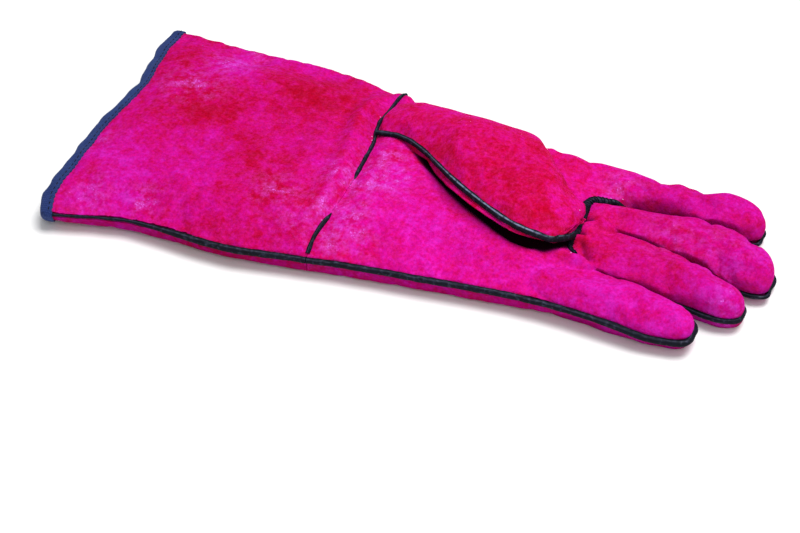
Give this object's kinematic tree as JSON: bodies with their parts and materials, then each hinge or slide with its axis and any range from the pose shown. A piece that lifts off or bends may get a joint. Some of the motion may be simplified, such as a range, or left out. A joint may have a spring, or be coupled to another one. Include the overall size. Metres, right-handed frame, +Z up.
{
  "type": "welding gauntlet",
  "caption": "Left-hand welding gauntlet of dyed split leather with dark piping and a bound cuff, lying palm up with its thumb folded over the palm.",
  "frame": {"origin": "bottom centre of the bounding box, on the surface that the glove lies on", "axes": "+X from the mouth of the cuff to the fingertips, +Y towards the thumb side, +Z up out of the palm"},
  "size_m": [0.4046, 0.1856, 0.0491],
  "materials": {
    "suede_leather": "napped split leather, crimson to magenta, matt and mottled",
    "piping": "dark navy piping, satin",
    "binding_tape": "dark navy woven tape, matt"
  },
  "bodies": {
    "root": {"cuff_palm_panel": "suede_leather", "cuff_back_panel": "suede_leather", "palm_panel": "suede_leather", "middle_fingers_panel": "suede_leather", "back_panel": "suede_leather", "thumb_front_panel": "suede_leather", "thumb_back_panel": "suede_leather", "cuff_near_welt": "piping", "cuff_far_welt": "piping", "wrist_welt": "piping", "index_finger_welt": "piping", "middle_finger_welt": "piping", "ring_finger_welt": "piping", "little_finger_welt": "piping", "finger_base_welt": "piping", "thumb_welt": "piping", "cuff_binding": "binding_tape"}
  },
  "joints": []
}
